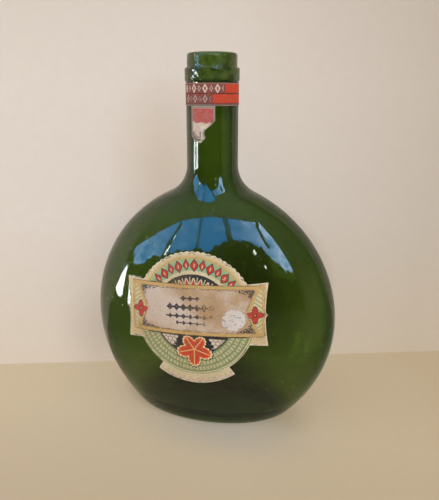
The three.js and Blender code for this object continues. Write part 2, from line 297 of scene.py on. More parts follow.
def add_seeds(points, faces):
    """Small bubbles in the wall, drawn out upwards, each a closed hollow."""
    chance = random.Random(11)
    for _ in range(SEEDS):
        height = chance.uniform(*SEED_HEIGHTS_MM) * MM
        angle = chance.uniform(0, 2 * pi)
        outer, inner = skin_ring(OUTSIDE, height), skin_ring(INSIDE, height)
        share = chance.uniform(*SEED_DEPTH_SHARES)
        middle = [o + (i - o) * share for o, i in zip(outer, inner)]
        centre = Vector((middle[0] * cos(angle), middle[1] * sin(angle), height))
        size = chance.uniform(*SEED_RADII_MM) * MM
        long = size * chance.uniform(*SEED_STRETCHES)
        first = len(points)
        for i in range(1, SEED_ROWS + 1):
            lean = pi * i / (SEED_ROWS + 1)
            flat, up = size * sin(lean), long * cos(lean)
            for j in range(SEED_SIDES):
                turn = 2 * pi * j / SEED_SIDES
                points.append(centre + Vector((flat * cos(turn), flat * sin(turn), up)))
        tip = len(points)
        last_row = tip - SEED_SIDES
        points += [centre + Vector((0, 0, long)), centre - Vector((0, 0, long))]
        for j in range(SEED_SIDES):
            k = (j + 1) % SEED_SIDES
            faces.append((tip, first + k, first + j))
            faces.append((tip + 1, last_row + j, last_row + k))
            for row in range(first, last_row, SEED_SIDES):
                faces.append((row + j, row + k, row + SEED_SIDES + k, row + SEED_SIDES + j))


def make_glass():
    """The glass as one closed skin, slightly uneven, with a mould seam up each side."""
    rings, inner_start = glass_rings()
    angles = column_angles()
    count = len(angles)
    points = [(0.0, 0.0, PUNT_HEIGHT)]
    seam_reach = (SEAM_COLUMNS - 1) * SEAM_PITCH / GLASS_HIGH.y
    for index, (half_width, half_depth, height) in enumerate(rings):
        inside = index >= inner_start
        on_wall = not inside and height > HEEL_RADIUS
        seamed = on_wall and height < FINISH_START
        waves = []
        if inside and height < FRONT_NECK_START:
            waves = INSIDE_WAVES
        elif on_wall:
            waves = FINISH_WAVES if height > FINISH_START else SKIN_WAVES
        for angle in angles:
            place = (half_width * cos(angle), half_depth * sin(angle), height)
            swell = swelling(waves, place)
            off_seam = abs(sin(angle)) / seam_reach
            if seamed and off_seam < 1:
                swell += SEAM_RISE * (1 - off_seam**2)
            x, y = place[0] * (1 + swell / half_width), place[1] * (1 + swell / half_depth)
            points.append((x, y, height))
    points.append((0.0, 0.0, FLOOR_THICKNESS + PUNT_HEIGHT))
    last = len(points) - 1
    faces = []
    for j in range(count):
        k = (j + 1) % count
        faces.append((0, 1 + k, 1 + j))
        for i in range(len(rings) - 1):
            row, above = 1 + i * count, 1 + (i + 1) * count
            faces.append((row + j, row + k, above + k, above + j))
        row = 1 + (len(rings) - 1) * count
        faces.append((row + j, row + k, last))
    add_seeds(points, faces)
    return mesh_piece("bottle_glass", points, faces)


def mesh_piece(name, points, faces, smooth=True):
    mesh = bpy.data.meshes.new(name)
    mesh.from_pydata(points, [], faces)
    if smooth:
        mesh.shade_smooth()
    piece = bpy.data.objects.new(name, mesh)
    scene.collection.objects.link(piece)
    return piece


def sum_with(operation):
    """A method that puts a wire and each other value in turn through a maths node."""

    def method(wire, *others):
        for other in others:
            wire = wire.math(operation, other)
        return wire

    return method


class Wire:
    """One output of a node, so that shader maths reads as plain sums."""

    def __init__(self, tree, socket=None):
        self.tree, self.socket = tree, socket

    def node(self, kind, inputs, output=0, **settings):
        """Adds a node: its settings first, then the values or links of its sockets."""
        made = self.tree.nodes.new("ShaderNode" + kind)
        for key, value in settings.items():
            setattr(made, key, value)
        for key, value in inputs.items():
            if isinstance(value, Wire):
                self.tree.links.new(value.socket, made.inputs[key])
            else:
                made.inputs[key].default_value = value
        return Wire(self.tree, made.outputs[output] if len(made.outputs) else None)

    def math(self, operation, *others, clamp=False):
        terms = dict(enumerate((self, *others)))
        return self.node("Math", terms, operation=operation, use_clamp=clamp)

    __add__ = __radd__ = sum_with("ADD")
    __mul__ = __rmul__ = sum_with("MULTIPLY")
    __sub__ = sum_with("SUBTRACT")
    __truediv__ = sum_with("DIVIDE")
    low = sum_with("MINIMUM")
    high = sum_with("MAXIMUM")

    def __rsub__(self, other):
        return self.node("Math", {0: other, 1: self}, operation="SUBTRACT")

    def __neg__(self):
        return self.math("MULTIPLY", -1.0)

    def __abs__(self):
        return self.math("ABSOLUTE")

    def clamped(self):
        """This value held between 0 and 1."""
        return self.math("ADD", 0.0, clamp=True)

    def mask(self, blur):
        """1 where the value is above zero and 0 below it, soft over the blur."""
        return (self / blur).math("ADD", 0.5, clamp=True)

    def curve(self, *points):
        """A value read off a line through some points, given as (place, value)."""
        first, last = points[0][0], points[-1][0]
        least = min(v for _, v in points)
        span = max(v for _, v in points) - least
        ramp = self.node("ValToRGB", {0: (self - first) / (last - first)})
        elements = ramp.socket.node.color_ramp.elements
        for _ in points[2:]:
            elements.new(0.5)
        for element, (place, value) in zip(elements, points):
            level = (value - least) / span
            element.position, element.color = (place - first) / (last - first), (level, level, level, 1.0)
        return ramp * span + least

    def blend(self, first, second, share):
        """One colour with another laid over it by a share."""
        return self.node("Mix", {0: share, 6: first, 7: second}, 2, data_type="RGBA")

    def mix(self, colour, share):
        return self.blend(self, colour, share)

    def vector(self, operation, other):
        return self.node("VectorMath", {0: self, 1: other}, operation=operation)

    def length(self):
        return self.node("VectorMath", {0: self}, 1, operation="LENGTH")

    def clouds(self, place, scale, detail, rough=0.5):
        """Uneven values from 0 to 1, with so many features to the metre."""
        inputs = {"Vector": place, "Scale": scale, "Detail": detail, "Roughness": rough}
        return self.node("TexNoise", inputs, "Fac")

    def split(self):
        """The three parts of a vector."""
        parts = self.node("SeparateXYZ", {0: self}).socket.node
        return [Wire(self.tree, output) for output in parts.outputs]


def new_material(name):
    material = bpy.data.materials.new(name)
    material.use_nodes = True
    material.node_tree.nodes.clear()
    return material, Wire(material.node_tree)


def rgb(red, green, blue):
    """A colour as seen on screen, 0 to 255, made linear for the nodes."""
    parts = [c / 255 for c in (red, green, blue)]
    return (*[c / 12.92 if c <= 0.04045 else ((c + 0.055) / 1.055) ** 2.4 for c in parts], 1.0)


GLASS_BODY = {"Color": (0.520, 0.628, 0.178, 1.0), "Density": 664.0}
DUST_FROM = 0.68
SPECKS_FROM = 0.725
# Painted light on the heel: the height up to which it lightens the heel, and how far it fades
HEEL_GLOW_TOP = 8.5 * MM
HEEL_GLOW_FADE = 7 * MM


def bottle_green():
    """Old bottle green: the colour is in the body of the glass, so thick places are darker.
    A thin dusty layer lies on the lip and the collar, and in specks elsewhere. On the heel the
    same layer is painted light: it lightens the heel as light glowing through the glass would."""
    material, wire = new_material("bottle_green")
    place = wire.node("TexCoord", {}, "Object")
    height = place.split()[2]
    haze = wire.clouds(place, 60.0, 4.0)
    fine = wire.clouds(place, 700.0, 2.0)
    pitted = wire.clouds(place, 620.0, 0.0)
    patchy = wire.clouds(place, 260.0, 3.0)
    dust = (fine - DUST_FROM + (haze - 0.5) * 0.2).mask(0.03)
    specks = (fine - SPECKS_FROM).mask(0.02)
    on_finish = ((height - FINISH_START) / MM).clamped()
    # Painted light: a paler green layer on the heel, strongest at the bottom, standing in for light
    # glowing through the glass
    painted_heel_glow = ((HEEL_GLOW_TOP - height) / HEEL_GLOW_FADE).clamped()

    relief = haze * 0.25 + dust * 0.1 + pitted * on_finish * 1.9
    bump = wire.node("Bump", {"Strength": 0.5, "Distance": 0.25 * MM, "Height": relief})
    clear = wire.node("BsdfPrincipled", {
        "Base Color": (0.97, 1.0, 0.95, 1.0),
        "Roughness": 0.012 + 0.03 * (haze * fine) + dust * 0.12 + on_finish * 0.06,
        "IOR": 1.52,
        "Transmission Weight": 1.0,
        "Normal": bump,
    })
    film_and_heel_glow = wire.node("BsdfPrincipled", {
        "Base Color": rgb(120, 150, 48), "Roughness": 0.4, "Normal": bump,
    })
    film_and_glow_share = 0.01 + on_finish * (patchy * 0.75 - 0.2).clamped() + dust * 0.1
    # The heel part of this share is painted light; the rest is dust on the finish and specks
    film_and_glow_share = film_and_glow_share + painted_heel_glow * patchy * 0.4 + specks * 0.5
    surface = wire.node("MixShader", {0: film_and_glow_share, 1: clear, 2: film_and_heel_glow})
    body = wire.node("VolumeAbsorption", GLASS_BODY)
    wire.node("OutputMaterial", {"Surface": surface, "Volume": body})
    return material


glass = make_glass()
glass.data.materials.append(bottle_green())
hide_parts("glass_bottle")
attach(glass, "root")


# The body label is one sheet of thin printed paper, die cut as a scalloped disc with a
# banner across it and a curved strip at its foot, and glued on the front of the body.
DISC = Vector((-2.7, 75.3)) * MM
DISC_RADIUS = 37.3 * MM
SCALLOP_PITCH = 3.4 * MM
SCALLOP_DEPTH = 0.9 * MM
SCALLOP_BLUNTNESS = 0.7
BANNER_SHIFT_MM = (0.2, 1.25)
BANNER = DISC + Vector(BANNER_SHIFT_MM) * MM
BANNER_WIDTH = 87.8 * MM
BANNER_END_DROP = 37.4 * MM
BANNER_WAIST_DROP = 34 * MM
BANNER_END_HOLLOW = 1.6 * MM
BANNER_TILT = radians(1.9)
BANNER_TIP = 1.3 * MM
BANNER_TIP_SHARE = 0.09
FOOT_ROOT = 30 * MM
FOOT_RADIUS = 43 * MM
FOOT_FROM = radians(-121.5)
FOOT_TO = radians(-54)
PAPER = 0.14 * MM
GLUE = 0.05 * MM
CURL_REACH = 2.2 * MM
CURL_RISE = 0.25 * MM
CURL_WAVES = 90
PRINT_MM = 100
PRINT_SIZE = PRINT_MM * MM

# How finely the sheets are divided
OUTLINE_STEP = 0.4 * MM
SHEET_STEP = 1.5 * MM
WRAP_STEPS = 24
EDGE_POINTS = 180
END_POINTS = 80
FOOT_POINTS = 120
FOOT_END_POINTS = 24
MERGE_WITHIN = 1e-7


def front_place(across, height, lift):
    """A point over the front of the body, so far round along the glass from the middle."""
    half_width, width_slope = OUTSIDE[0].at(height)
    half_depth, depth_slope = OUTSIDE[1].at(height)
    angle = 0.0
    for _ in range(WRAP_STEPS):
        spread = hypot(half_width * cos(angle), half_depth * sin(angle))
        angle += across / WRAP_STEPS / spread
    x = half_width * sin(angle)
    y = -half_depth * cos(angle)
    rise = -(x**2 * width_slope / half_width**3 + y**2 * depth_slope / half_depth**3)
    out = Vector((x / half_width**2, y / half_depth**2, rise)).normalized()
    return Vector((x, y, height)) + out * lift


def disc_outline():
    """The disc, scalloped round its upper half."""
    scallops = round(pi * DISC_RADIUS / SCALLOP_PITCH)
    count = round(2 * pi * DISC_RADIUS / OUTLINE_STEP)
    points = []
    for i in range(count):
        angle = 2 * pi * i / count
        radius = DISC_RADIUS
        if angle < pi:
            radius -= SCALLOP_DEPTH * (1 - abs(sin(scallops * angle)) ** SCALLOP_BLUNTNESS)
        points.append(DISC + Vector((cos(angle), sin(angle))) * radius)
    return points


def banner_outline():
    """The banner, tilted a little, with hollow ends that have a small tip in their middle."""
    points = []
    for end in (1, -1):
        for i in range(EDGE_POINTS):
            t = end * (2 * i / EDGE_POINTS - 1)
            drop = BANNER_WAIST_DROP + (BANNER_END_DROP - BANNER_WAIST_DROP) * t**2
            points.append((t * BANNER_WIDTH / 2, -end * drop / 2))
        for i in range(END_POINTS):
            t = 2 * i / END_POINTS - 1
            reach = BANNER_WIDTH / 2 - BANNER_END_HOLLOW * (1 - t**2)
            reach += BANNER_TIP * max(0.0, 1 - abs(t) / BANNER_TIP_SHARE)
            points.append((end * reach, end * t * BANNER_END_DROP / 2))
    cosine, sine = cos(BANNER_TILT), sin(BANNER_TILT)
    return [BANNER + Vector((x * cosine - z * sine, x * sine + z * cosine)) for x, z in points]


def foot_outline():
    """The curved strip that shows under the disc."""
    angles = [FOOT_FROM + (FOOT_TO - FOOT_FROM) * i / FOOT_POINTS for i in range(FOOT_POINTS + 1)]
    radii = np.linspace(FOOT_ROOT, FOOT_RADIUS, FOOT_END_POINTS)
    corners = [(radius, FOOT_FROM) for radius in radii]
    corners += [(FOOT_RADIUS, angle) for angle in angles[1:-1]]
    corners += [(radius, FOOT_TO) for radius in radii[::-1]]
    corners += [(FOOT_ROOT, angle) for angle in angles[-2:0:-1]]
    return [DISC + Vector((cos(a), sin(a))) * radius for radius, a in corners]


def paper_piece(name, outlines, place, middle, lift):
    """A sheet of paper cut to the union of some outlines and laid over the glass. Its points
    know how far they are from the edge, in mm, and where they are in the print."""
    flat = []
    loops = []
    for outline in outlines:
        loops.append(list(range(len(flat), len(flat) + len(outline))))
        flat += outline
    low = [min(p[k] for p in flat) for k in (0, 1)]
    high = [max(p[k] for p in flat) for k in (0, 1)]
    spans = [int((high[k] - low[k]) / SHEET_STEP) for k in (0, 1)]
    for i in range(spans[0]):
        for j in range(spans[1]):
            shift = 0.5 * (j % 2)
            across = low[0] + (i + 0.5 + shift) * SHEET_STEP
            flat.append(Vector((across, low[1] + (j + 0.5) * SHEET_STEP)))
    points, _, tris, _, _, _ = geometry.delaunay_2d_cdt(flat, [], loops, 1, MERGE_WITHIN)
    edges = {}
    for tri in tris:
        edges.update(dict.fromkeys(zip(tri, (*tri[1:], tri[0]))))
    rim = [(a, b) for a, b in edges if (b, a) not in edges]
    rim_points = np.array([points[a] for a, _ in rim])
    count = len(points)
    insets = []
    for p in points:
        away = np.hypot(rim_points[:, 0] - p[0], rim_points[:, 1] - p[1])
        insets.append(float(np.min(away)))
    verts = []
    for thickness in (0.0, PAPER):
        verts += [place(p[0], p[1], lift(p[0], p[1], d) + thickness) for p, d in zip(points, insets)]
    faces = [tuple(count + v for v in tri) for tri in tris]
    faces += [tri[::-1] for tri in tris]
    faces += [(a, b, count + b, count + a) for a, b in rim]
    piece = mesh_piece(name, verts, faces)
    print_low = [middle[k] - PRINT_SIZE / 2 for k in (0, 1)]
    inset = piece.data.attributes.new("inset", "FLOAT", "POINT")
    inset.data.foreach_set("value", [d / MM for d in insets * 2])
    layer = piece.data.uv_layers.new(name="print")
    for loop in piece.data.loops:
        p = points[loop.vertex_index % count]
        layer.data[loop.index].uv = [(p[k] - print_low[k]) / PRINT_SIZE for k in (0, 1)]
    return piece


def body_label_lift(across, height, inset):
    """The sheet lies on its glue, and its edges curl up unevenly by a hair."""
    curl = max(0.0, 1 - inset / CURL_REACH) ** 2
    wave = 0.5 + 0.5 * noise.noise(Vector((across, height, 0.0)) * CURL_WAVES)
    return GLUE + CURL_RISE * curl * wave


outlines = [disc_outline(), banner_outline(), foot_outline()]
label = paper_piece("front_label", outlines, front_place, DISC, body_label_lift)


class Print:
    """The print on a label: colours laid over one another through soft edged shapes, in mm."""

    def __init__(self, name, ground):
        self.material, self.wire = new_material(name)
        across, up, _ = self.wire.node("UVMap", {}, uv_map="print").split()
        self.x, self.z = (across - 0.5) * PRINT_MM, (up - 0.5) * PRINT_MM
        self.place = self.wire.node("CombineXYZ", {0: self.x, 1: self.z, 2: 0.0})
        self.inset = self.wire.node("Attribute", {}, "Fac", attribute_name="inset")
        self.colour = self.wire.blend(rgb(*ground), rgb(*ground), 0.0)

    def noise(self, scale, seed, detail=3.0, stretch=(1.0, 1.0)):
        """Uneven values round 0, with so many features to the mm."""
        place = self.place.vector("MULTIPLY", (*stretch, 1.0))
        inputs = {"Vector": place, "W": seed, "Scale": scale, "Detail": detail}
        return self.wire.node("TexNoise", inputs, "Fac", noise_dimensions="4D") - 0.5

    def lay(self, colour, shape, blur=0.2, strength=1.0):
        """Lays a colour where a shape, which is the distance inside its edge, is above zero."""
        share = shape.mask(blur)
        self.colour = self.colour.mix(rgb(*colour), share if strength == 1.0 else share * strength)

    def finish(self, bump):
        """The paper under the print: matt, a little rough, with the height given."""
        fibre = self.noise(2.2, 4.0, 5.0)
        relief = fibre * 0.5 + bump
        raised = self.wire.node("Bump", {"Strength": 0.5, "Distance": 0.2 * MM, "Height": relief})
        paper = self.wire.node("BsdfPrincipled", {
            "Base Color": self.colour,
            "Roughness": 0.62 + fibre * 0.3,
            "Specular IOR Level": 0.35,
            "Normal": raised,
        })
        self.wire.node("OutputMaterial", {"Surface": paper})
        return self.material


def near(value, middle, half):
    """A band round a value, as the distance inside its edge."""
    return half - abs(value - middle)


def spoke(value, pitch):
    """How far a value is from the nearest of its evenly spaced middles, and which that is."""
    index = (value / pitch).math("ROUND")
    return value - index * pitch, index


def distance(x, z):
    """How far a place is from the middle."""
    return (x * x + z * z).math("SQRT")


CREAM = (213, 197, 160)
OCHRE = (201, 166, 106)
SAGE = (150, 178, 138)
LEAF = (112, 146, 104)
RED = (196, 52, 46)
FLAME = (224, 98, 48)
INK = (38, 36, 38)
TAN = (205, 185, 170)
WORN = (222, 215, 212)
TO_DEGREES = 180 / pi
TO_RADIANS = pi / 180

# Sizes of the design in mm, and its turns in degrees from the top
UPPER_TURN = 100
DARK_DISC = 24.3
BUD_RING, BUD_PITCH, BUD_TURN = 29.3, 9.6, 62
RAY_PITCH = 12.0
STROKE_ROWS = [(26.5, 4.7, 1.0), (29.7, 4.2, 2.0), (33.0, 3.8, 3.0)]
GRAPES_ACROSS, GRAPES_DOWN = 14.6, 15.6
BERRY_STEP, BERRY_DROP, BERRY_RADIUS = 2.6, 4.4, 1.22
VINE_LEAF = (1.0, -20.5)
PANEL_RISE, PANEL_MIDDLE = 2.0, 1.0
ROSETTE_OUT, ROSETTE_DOWN = 35.2, 1.9
RULES = [(7.0, 6.0, 0.44), (1.6, 14.6, 0.56), (-3.8, 15.5, 0.42), (-7.8, 9.0, 0.34)]
RULE_MIDDLE, KNOT_PITCH = -1.6, 4.2
WORN_PATCH, WORN_RADIUS = (23.9, -4.9), 6.9
FOOT_TURN = 120


def lay_rings(art, r, turn, upper):
    """Bands round the disc, its dark middle, and buds round the top."""
    art.lay((206, 184, 136), near(r, 33.9, 1.1).low(upper), 0.5)
    art.lay(OCHRE, near(r, 33.5, 0.5).low(upper))
    art.lay(SAGE, near(r, 29.6, 3.3).low(upper))
    art.lay((130, 144, 100), near(r, 29.7, 5.8).low(-upper))
    art.lay(INK, DARK_DISC - r)

    slot, index = spoke(turn, BUD_PITCH)
    side = slot * r * TO_RADIANS
    odd = abs(spoke(index, 2.0)[0])
    up = r - BUD_RING
    bud = 2.75 - abs(up) * 0.95 - abs(side) * (1.2 + 0.45 * odd) + (up * 0.35).low(0.4) * odd
    field = BUD_TURN - abs(turn)
    art.lay(INK, (bud + 0.75).low(field))
    art.lay(RED, bud.low(field))
    art.lay(CREAM, (0.36 - abs(side)).low(1.0 - abs(up), field), strength=0.8)


def lay_rays(art, r, turn, upper):
    """Rays over the dark disc, and rows of short strokes round the bottom."""
    broad = abs(spoke(turn, RAY_PITCH)[0] * r * TO_RADIANS)
    art.lay(CREAM, (2.3 - broad - (r - 17.5).high(0) * 0.38).low(22.2 - r, upper))
    art.lay(RED, (1.75 - broad - (r - 17.0).high(0) * 0.38).low(21.6 - r, upper))
    fine = spoke(turn + RAY_PITCH / 2, RAY_PITCH)[0] * r * TO_RADIANS
    art.lay(CREAM, near(fine, 0.0, 0.28).low(22.8 - r, r - 17.5, upper))

    for radius, pitch, seed in STROKE_ROWS:
        length = spoke(turn + seed, pitch)[0] * r * TO_RADIANS
        gaps = art.noise(0.6, 40.0 + seed, 5.0).high(0) * 3
        kept = near(r, radius, 1.15).low(near(length, 0.0, 0.82)) - gaps
        art.lay((198, 188, 148), kept.low(-upper), 0.35, 0.9)


def lay_vine(art, x, z, r):
    """Two small bunches of grapes and a vine leaf between them."""
    gx, gz = abs(x - 0.6) - GRAPES_ACROSS, z + GRAPES_DOWN
    taper = 4.4 + gz * 0.5
    berries = None
    for shift in (0.0, 0.5):
        row = (gz / BERRY_DROP - shift).math("ROUND") + shift
        column = (gx / BERRY_STEP - shift).math("ROUND") + shift
        dx, dz = gx - column * BERRY_STEP, gz - row * BERRY_DROP
        berry = (BERRY_RADIUS - distance(dx, dz)).low((taper - abs(column * BERRY_STEP)) * 4)
        berries = berry if berries is None else berries.high(berry)
    berries = berries.low(DARK_DISC - 0.9 - r, near(gz, -2.5, 5.0))
    art.lay((150, 132, 116), berries + 0.25)
    art.lay((214, 200, 182), berries - 0.15)

    lx, lz = x - VINE_LEAF[0], z - VINE_LEAF[1]
    reach = distance(lx, lz)
    way = lx.math("ARCTAN2", -lz)
    lobes = abs((way * 2.5).math("COSINE"))
    teeth = abs((way * 17.5).math("SINE")) * 0.8
    leaf = 6.3 + lobes * 4.6 + teeth - reach - (lz * 0.22).high(0)
    art.lay(INK, leaf + 0.7)
    art.lay((232, 214, 170), leaf)
    art.lay(FLAME, leaf - 1.0)
    art.lay(RED, leaf - 2.2 + art.noise(0.5, 30.0) * 2, 0.8, 0.85)
    vein = 0.3 - abs(spoke(way, 2 * pi / 5)[0]) * reach
    art.lay((232, 196, 128), vein.low(leaf - 1.6), strength=0.9)


def lay_banner(art, bx, bz):
    """The banner with its frame and a rosette at each end. Gives back the panel's shape."""
    level, out = abs(bz), abs(bx - PANEL_MIDDLE)
    art.lay(INK, (15.6 - level).low(-bz, 30 - out))
    art.lay(CREAM, (14.9 - level).low(44 - out))
    end = 30.0 + level * 0.43 - out
    panel = (12.7 - level).low(end)
    vein = spoke(level * 0.8 + out * 0.6, 2.1)[0]
    triangle = (-end - 2.3).low(39.4 - out, 13.4 - level)
    art.lay(LEAF, near(vein, 0.0, 0.34).low(triangle), strength=0.75)
    yellowed = (3.6 - abs(level - 14.2)).low(4.5 - abs(end)).high(1.6 - abs(out - 40.4))
    art.lay(OCHRE, yellowed, 3.0, 0.4)
    art.lay(OCHRE, near(level, 13.8, 1.05).low(40.2 - out))
    art.lay(OCHRE, near(end, -1.15, 1.1).low(14.6 - level))
    art.lay(OCHRE, near(out, 39.9, 0.65).low(14.8 - level))
    broken = art.noise(0.5, 35.0, 4.0) * 8 + 0.5
    brown = (112, 78, 46)
    art.lay((104, 70, 42), near(panel, 0.0, 0.3).low(broken), 0.15, 0.85)
    art.lay(brown, near(level, 15.0, 0.26).low(40.2 - out, broken + 0.3), 0.15, 0.75)
    art.lay(brown, near(out, 40.7, 0.22).low(15 - level, broken), 0.15, 0.6)

    px, pz = out - ROSETTE_OUT, bz + ROSETTE_DOWN
    petals = distance(px, pz)
    rosette = 3.5 + (px.math("ARCTAN2", pz) * 4).math("COSINE") * 1.2 - petals
    art.lay(INK, rosette + 0.55)
    art.lay(RED, rosette)
    art.lay((104, 30, 34), 1.15 - petals)
    art.lay(OCHRE, 0.5 - petals)
    return panel


def lay_panel(art, bx, bz, panel, grain):
    """The plain panel, foxed and worn, with a speckled border and faint rules."""
    level, out = abs(bz), abs(bx - PANEL_MIDDLE)
    within = panel - 0.3
    cloudy = art.noise(0.06, 2.0, 4.0)
    art.lay(TAN, within)
    browned = cloudy * 0.75 + bx * 0.006 + (level - 7).high(0) * 0.022 - 0.045
    art.lay((182, 146, 104), browned.low(within * 0.1), 0.22, 0.85)
    art.lay((212, 196, 184), (-0.05 - cloudy).low(within * 0.1), 0.14, 0.6)
    flecks = art.noise(1.1, 31.0, 3.0)
    corner = 0.6 - panel + (out + level * 1.6 - 42.5).high(0) * 0.7
    specks = (flecks - 0.02 + corner * 0.02).low(within)
    art.lay((40, 40, 50), specks.low(corner * 0.2), 0.03, 0.92)
    art.lay((120, 92, 72), (flecks - 0.15).low(within), 0.04, 0.55)

    rx = bx - RULE_MIDDLE
    kept = (grain + 0.14 - (bx + 4).high(0) * 0.012) * 4
    for height, half, weight in RULES:
        length = half - abs(rx)
        rule = near(bz, height, weight).low(length)
        knot = abs(spoke(rx, KNOT_PITCH)[0])
        knots = (weight * 3.6 - knot - abs(bz - height) * 0.9).low(length)
        art.lay((40, 36, 40), rule.high(knots).low(kept), 0.12, 0.96)

    wx, wz = bx - WORN_PATCH[0], bz - WORN_PATCH[1]
    ragged = art.noise(0.5, 5.0, 4.0) * 3.4
    worn = WORN_RADIUS - (wx * wx + wz * wz * 1.25).math("SQRT") + ragged
    art.lay(WORN, worn.low(panel + 0.5), 0.4)
    scratches = art.noise(0.62, 6.0, 3.0, (0.5, 2.2)) * 8 - 0.9
    art.lay((84, 74, 78), worn.low(scratches), 0.25, 0.85)


def lay_foot(art, r, turn, lower):
    """The strip at the foot: two fine lines, a row of dots and a rubbed outer edge."""
    foot = abs(turn) - FOOT_TURN
    art.lay(LEAF, near(r, 36.5, 0.28).low(lower), strength=0.8)
    art.lay((190, 186, 140), near(r, 38.2, 0.22).low(foot), strength=0.7)
    dot = abs(spoke(turn, 5.2)[0] * 0.70)
    art.lay((172, 168, 128), (0.75 - (abs(r - 40.2) + dot)).low(foot - 10), strength=0.8)
    rubbed = r - 40.6 + art.noise(0.4, 34.0, 4.0) * 9
    art.lay((204, 182, 166), rubbed.low(foot), 0.8, 0.75)


def lay_age(art):
    """Stains, dirt, rubbed places, scratches, dirty, frayed edges, and a painted shadow as a thin darker
    line at the very edge.
    """
    art.lay((150, 112, 62), art.noise(0.045, 7.0, 5.0) - 0.05, 0.3, 0.3)
    art.lay((92, 72, 52), art.noise(1.3, 32.0, 3.0) - 0.145, 0.06, 0.5)
    mottle = art.noise(0.7, 8.0, 5.0)
    art.lay((120, 92, 60), mottle - 0.16, 0.12, 0.35)
    art.lay((228, 218, 196), art.noise(0.9, 9.0, 6.0) - 0.17, 0.06, 0.6)
    art.lay((96, 80, 62), art.noise(0.35, 10.0, 2.0, (3.2, 0.22)) - 0.245, 0.03, 0.5)
    grimy = art.noise(0.16, 33.0, 4.0) * 9 - 0.3
    art.lay((78, 56, 34), (0.8 + mottle * 3 - art.inset).low(grimy), 0.3, 0.8)
    art.lay((236, 226, 202), 0.55 - (art.inset + mottle * 1.2), 0.3, 0.75)
    # Painted shadow: a thin darker line right at the edge of the sheet
    art.lay((132, 108, 76), 0.16 - art.inset - mottle * 0.4, 0.2, 0.7)


def front_print():
    """A made up design: a ring, rays over a vine, and a plain panel across them, all aged."""
    art = Print("front_print", CREAM)
    waver = art.noise(0.5, 1.0) * 0.5
    x, z = art.x + waver, art.z - waver
    r = distance(x, z)
    turn = x.math("ARCTAN2", z) * TO_DEGREES
    upper = UPPER_TURN - abs(turn)
    lay_rings(art, r, turn, upper)
    lay_rays(art, r, turn, upper)
    lay_vine(art, x, z, r)

    # Across and up along the tilted banner
    cosine, sine = cos(BANNER_TILT), sin(BANNER_TILT)
    tx, tz = x - BANNER_SHIFT_MM[0], z - BANNER_SHIFT_MM[1]
    bx = tx * cosine + tz * sine
    bz = tz * cosine - tx * sine - PANEL_RISE
    grain = art.noise(1.6, 3.0, 6.0)
    panel = lay_banner(art, bx, bz)
    lay_panel(art, bx, bz, panel, grain)
    lay_foot(art, r, turn, -upper)
    lay_age(art)
    return art.finish(grain * 0.4)


label.data.materials.append(front_print())
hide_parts("body_label")
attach(label, "root")


# The neck label is a band of thin printed paper round the neck, just under the collar, with
# a small tag hanging from it at the front that has lost its lower corner.
BAND_TOP = 205.4 * MM
BAND_BOTTOM = 193.0 * MM
TAG_LENGTH = 20.5 * MM
TAG_LEFT = -9.3 * MM
TAG_RIGHT = 5.6 * MM
TAG_EDGE_SHARES = [
    (0, 0.81), (0.14, 0.92), (0.44, 1), (0.64, 0.85), (0.58, 0.75), (0.61, 0.64), (0.85, 0.5), (1, 0.39),
]
BAND_GAP = 0.4 * MM
BAND_HALF = pi * NECK_RADIUS - BAND_GAP / 2


def neck_place(across, height, lift):
    radius = NECK_RADIUS + lift
    angle = across / NECK_RADIUS
    return Vector((radius * sin(angle), -radius * cos(angle), height))


def along(corners, step):
    """Points no more than a step apart along a closed line through some corners."""
    points = []
    for a, b in zip(corners, corners[1:] + corners[:1]):
        pieces = max(1, round((Vector(b) - Vector(a)).length / step))
        points += [Vector(a).lerp(Vector(b), i / pieces) for i in range(pieces)]
    return points


def neck_outline():
    """The band laid flat, with the tag's torn end."""
    tag = []
    for share, drop in TAG_EDGE_SHARES:
        tag.append((TAG_LEFT + (TAG_RIGHT - TAG_LEFT) * share, BAND_BOTTOM - TAG_LENGTH * drop))
    corners = [(-BAND_HALF, BAND_TOP), (-BAND_HALF, BAND_BOTTOM), (TAG_LEFT, BAND_BOTTOM), *tag]
    corners += [(TAG_RIGHT, BAND_BOTTOM), (BAND_HALF, BAND_BOTTOM), (BAND_HALF, BAND_TOP)]
    return along(corners, OUTLINE_STEP)


neck_label = paper_piece("neck_band", [neck_outline()], neck_place, (0, BAND_BOTTOM), lambda *_: GLUE)

# Each stripe of the band in mm: its height, half its width, its row's ends and pitch, and its colour
STRIPES = [
    (9.5, 2.1, -21.0, 10.5, 3.5, (222, 196, 176)),
    (3.9, 1.9, -15.0, 3.6, 3.1, (182, 158, 146)),
]


def lay_stripe(art, x, z, height, half, left, right, pitch, colour):
    """A row of lozenges, large and small by turns, on a darker ground."""
    art.lay((112, 74, 72), near(z, height, half + 0.3).low(x + 40, right + 0.8 - x), 0.3, 0.8)
    shift, index = spoke(x, pitch)
    odd = abs(spoke(index, 2.0)[0])
    lozenge = half * (1 - odd * 0.35) - abs(shift) * 1.25 - abs(z - height) * 0.75
    lozenge = lozenge.low(x - left, right - x)
    art.lay(INK, lozenge + 0.5, 0.3, 0.85)
    art.lay(colour, lozenge, 0.3, 0.95)
    heart = (0.5 - abs(shift)).low(0.9 - abs(z - height), lozenge)
    art.lay((150, 44, 36), heart, 0.3, 0.9)


